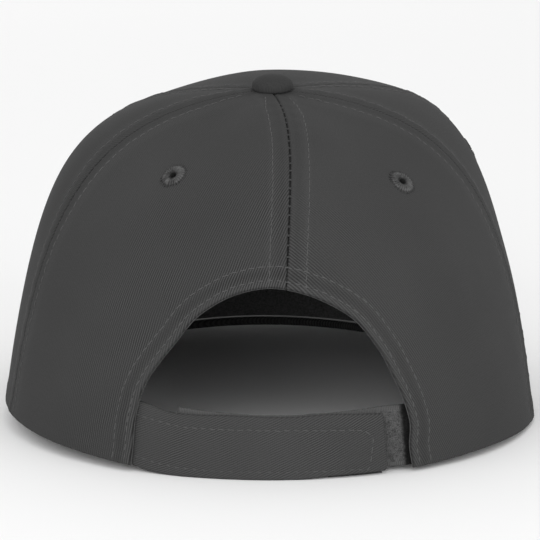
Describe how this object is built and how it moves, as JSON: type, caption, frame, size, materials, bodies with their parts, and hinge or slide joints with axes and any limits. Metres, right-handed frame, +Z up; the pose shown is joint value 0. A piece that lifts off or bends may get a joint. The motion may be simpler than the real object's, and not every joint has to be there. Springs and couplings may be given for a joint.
{
  "type": "five panel cap",
  "caption": "Cotton twill cap with a rounded crown, a curved peak, stitched eyelets, a covered top button and an arched back opening closed by a hook-and-loop strap.",
  "frame": {"origin": "middle of the bounding box in plan, at the height of the surface that the cap stands on", "axes": "+Z up, +Y towards the back opening, so the peak points to -Y and +X is the wearer's left"},
  "size_m": [0.18, 0.2642, 0.1156],
  "materials": {
    "twill": "dark grey cotton twill, matt",
    "sweatband_cloth": "dark grey plain cotton, matt",
    "hook_tape": "dark woven hook tape",
    "loop_tape": "dark brushed loop tape",
    "eyelet_thread": "grey embroidery thread, slight sheen"
  },
  "bodies": {
    "root": {"front_panel": "twill", "side_panel_left": "twill", "side_panel_right": "twill", "back_panel_left": "twill", "back_panel_right": "twill", "top_button": "twill", "peak": "twill", "strap": "twill", "sweatband": "sweatband_cloth", "hook_patch": "hook_tape", "loop_tab": "loop_tape", "back_eyelet_left": "eyelet_thread", "back_eyelet_right": "eyelet_thread", "side_eyelet_left": "eyelet_thread", "side_eyelet_right": "eyelet_thread"}
  },
  "joints": []
}
